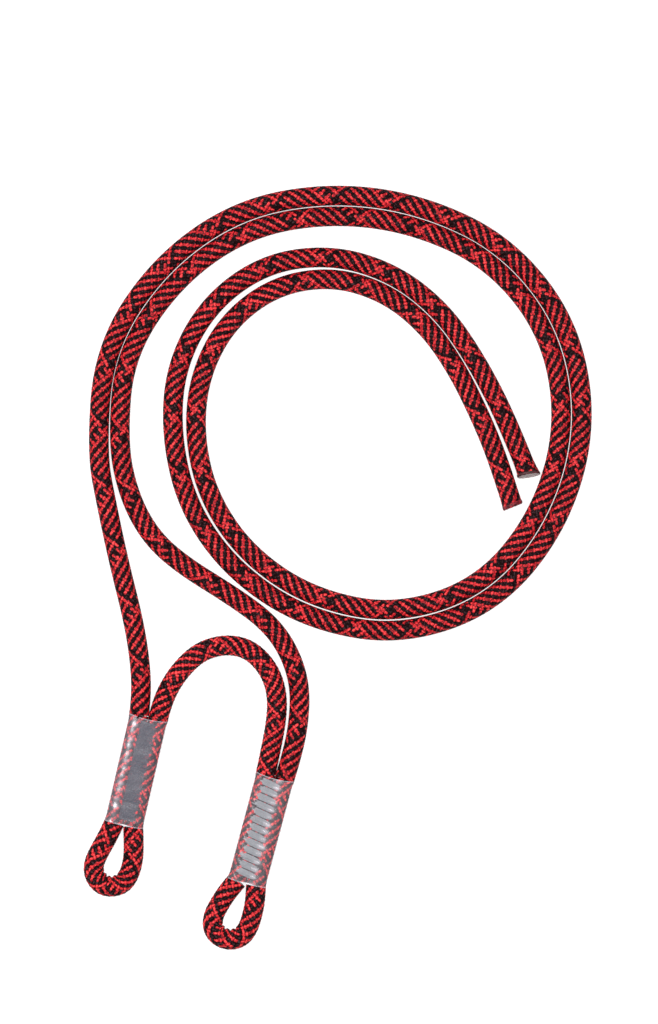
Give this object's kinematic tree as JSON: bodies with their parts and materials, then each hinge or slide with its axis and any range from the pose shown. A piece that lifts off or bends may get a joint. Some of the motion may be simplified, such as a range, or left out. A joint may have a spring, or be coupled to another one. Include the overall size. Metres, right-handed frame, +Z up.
{
  "type": "rope tether with two sewn eyes",
  "caption": "Red and black braided rope tether with two sewn eyes under clear sleeves, a short bridge between them and long coiled tails.",
  "frame": {"origin": "bottom centre of the whole object's box, on the surface that the rope lies on", "axes": "+Z up out of that surface; +Y from the two eyes towards the coil of the tails; +X from sewn eye a towards sewn eye b"},
  "size_m": [0.2773, 0.4167, 0.011],
  "materials": {
    "rope_sheath": "fine braid of red and black polyester strands",
    "rope_core": "undyed light grey core yarns",
    "stitching_a": "slate grey bonded thread",
    "stitching_b": "silver grey bonded thread",
    "sleeve": "clear, slightly milky heat-shrink tube",
    "end_seal": "sheath and core melted together"
  },
  "bodies": {
    "root": {"tail_a_sheath": "rope_sheath", "tail_a_core": "rope_core", "tail_b_sheath": "rope_sheath", "tail_b_core": "rope_core", "bridge_sheath": "rope_sheath", "bridge_core": "rope_core", "eye_a_sheath": "rope_sheath", "eye_a_core": "rope_core", "eye_b_sheath": "rope_sheath", "eye_b_core": "rope_core", "splice_legs_a": "rope_sheath", "splice_cores_a": "rope_core", "stitching_a": "stitching_a", "sleeve_a": "sleeve", "end_seal_a": "end_seal", "splice_legs_b": "rope_sheath", "splice_cores_b": "rope_core", "stitching_b": "stitching_b", "sleeve_b": "sleeve", "end_seal_b": "end_seal"}
  },
  "joints": []
}
